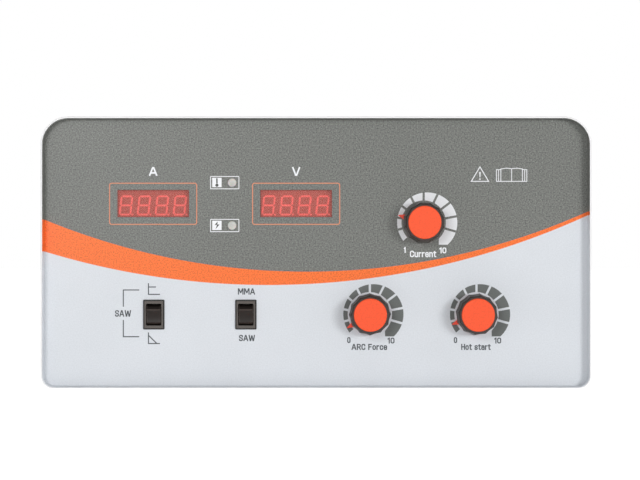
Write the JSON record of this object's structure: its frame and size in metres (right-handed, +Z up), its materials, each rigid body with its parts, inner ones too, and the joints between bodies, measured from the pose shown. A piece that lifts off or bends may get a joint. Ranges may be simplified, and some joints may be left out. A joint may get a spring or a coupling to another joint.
{
  "type": "welding inverter control panel",
  "caption": "Rectangular front control panel of an arc welding inverter, with digital meters, indicator lamps, control knobs, rocker switches and its circuit board behind a shallow rim.",
  "frame": {"origin": "centre of the four corner fixing inserts, in the plane of the rear rim", "axes": "+X along the panel's width to the right as the user sees it, +Y rearwards into the machine, +Z up along the panel's height"},
  "size_m": [0.386, 0.0442, 0.191],
  "materials": {
    "fascia_plastic": "fine texture",
    "printed_film": "velvet",
    "red_filter": "satin",
    "module_black": "matte",
    "segment_red": "diffusing",
    "frosted_lens": "frosted",
    "lamp_epoxy": "clear",
    "board_laminate": "solder mask",
    "tinned_metal": "tinned",
    "zinc_steel": "zinc plated",
    "nickel_brass": "nickel plated",
    "chip_epoxy": "moulded",
    "capacitor_sleeve": "sleeve",
    "trimmer_blue": "moulded",
    "header_black": "moulded",
    "header_white": "moulded",
    "sink_aluminium": "black anodised",
    "can_steel": "satin",
    "track_phenolic": "phenolic",
    "insert_brass": "turned",
    "shaft_aluminium": "turned",
    "wiper_plastic": "moulded",
    "knob_black": "fine texture",
    "pointer_red": "satin",
    "cap_orange": "satin",
    "switch_black": "satin",
    "rocker_black": "satin",
    "plunger_plastic": "nylon",
    "spring_steel": "drawn",
    "contact_copper": "copper alloy"
  },
  "bodies": {
    "panel": {"fascia": "fascia_plastic", "overlay": "printed_film", "display_window_amps": "red_filter", "display_window_volts": "red_filter", "display_module_amps": "module_black", "display_module_volts": "module_black", "display_segments_amps": "segment_red", "display_segments_volts": "segment_red", "indicator_lens_heat": "frosted_lens", "indicator_lens_mains": "frosted_lens", "indicator_lamps": "lamp_epoxy", "circuit_board": "board_laminate", "leads_and_pins": "tinned_metal", "board_screws": "zinc_steel", "washers": "zinc_steel", "pot_nuts": "nickel_brass", "integrated_circuits": "chip_epoxy", "voltage_regulator": "chip_epoxy", "electrolytic_capacitors": "capacitor_sleeve", "trimmers": "trimmer_blue", "harness_header": "header_black", "supply_header": "header_white", "heat_sink": "sink_aluminium", "pot_bushes": "nickel_brass", "pot_cans": "can_steel", "pot_tracks": "track_phenolic", "pot_terminals": "tinned_metal", "switch_terminals": "tinned_metal", "mounting_inserts": "insert_brass", "switch_housing_characteristic": "switch_black", "switch_housing_process": "switch_black"},
    "knob_current": {"shaft_current": "shaft_aluminium", "wiper_current": "wiper_plastic", "knob_current": "knob_black", "pointer_ring_current": "pointer_red", "collet_current": "insert_brass", "collet_nut_current": "insert_brass", "knob_cap_current": "cap_orange"},
    "knob_arc_force": {"shaft_arc_force": "shaft_aluminium", "wiper_arc_force": "wiper_plastic", "knob_arc_force": "knob_black", "pointer_ring_arc_force": "pointer_red", "collet_arc_force": "insert_brass", "collet_nut_arc_force": "insert_brass", "knob_cap_arc_force": "cap_orange"},
    "knob_hot_start": {"shaft_hot_start": "shaft_aluminium", "wiper_hot_start": "wiper_plastic", "knob_hot_start": "knob_black", "pointer_ring_hot_start": "pointer_red", "collet_hot_start": "insert_brass", "collet_nut_hot_start": "insert_brass", "knob_cap_hot_start": "cap_orange"},
    "rocker_characteristic": {"rocker_characteristic": "rocker_black", "plunger_characteristic": "plunger_plastic", "plunger_spring_characteristic": "spring_steel"},
    "lever_characteristic": {"contact_lever_characteristic": "contact_copper"},
    "rocker_process": {"rocker_process": "rocker_black", "plunger_process": "plunger_plastic", "plunger_spring_process": "spring_steel"},
    "lever_process": {"contact_lever_process": "contact_copper"}
  },
  "joints": [
    {"name": "current_knob_turn", "type": "hinge", "parent": "panel", "child": "knob_current", "pos_m": [0.0758, -0.027, 0.0213], "axis": [0, 1, 0], "range_deg": [-58, 206]},
    {"name": "arc_force_knob_turn", "type": "hinge", "parent": "panel", "child": "knob_arc_force", "pos_m": [0.0379, -0.027, -0.0433], "axis": [0, 1, 0], "range_deg": [-11, 253]},
    {"name": "hot_start_knob_turn", "type": "hinge", "parent": "panel", "child": "knob_hot_start", "pos_m": [0.113, -0.027, -0.0433], "axis": [0, 1, 0], "range_deg": [-19.5, 244.5]},
    {"name": "characteristic_rocker_tilt", "type": "hinge", "parent": "panel", "child": "rocker_characteristic", "pos_m": [-0.1142, -0.024, -0.0435], "axis": [-1, 0, 0], "range_deg": [0, 20]},
    {"name": "characteristic_lever_tilt", "type": "hinge", "parent": "panel", "child": "lever_characteristic", "pos_m": [-0.1142, -0.0159, -0.0435], "axis": [-1, 0, 0], "range_deg": [-10.8, 0]},
    {"name": "process_rocker_tilt", "type": "hinge", "parent": "panel", "child": "rocker_process", "pos_m": [-0.0494, -0.024, -0.0435], "axis": [-1, 0, 0], "range_deg": [0, 20]},
    {"name": "process_lever_tilt", "type": "hinge", "parent": "panel", "child": "lever_process", "pos_m": [-0.0494, -0.0159, -0.0435], "axis": [-1, 0, 0], "range_deg": [-10.8, 0]}
  ],
  "couplings": [
    {"joint": "characteristic_lever_tilt", "follows": "characteristic_rocker_tilt", "ratio": -0.54},
    {"joint": "process_lever_tilt", "follows": "process_rocker_tilt", "ratio": -0.54}
  ]
}
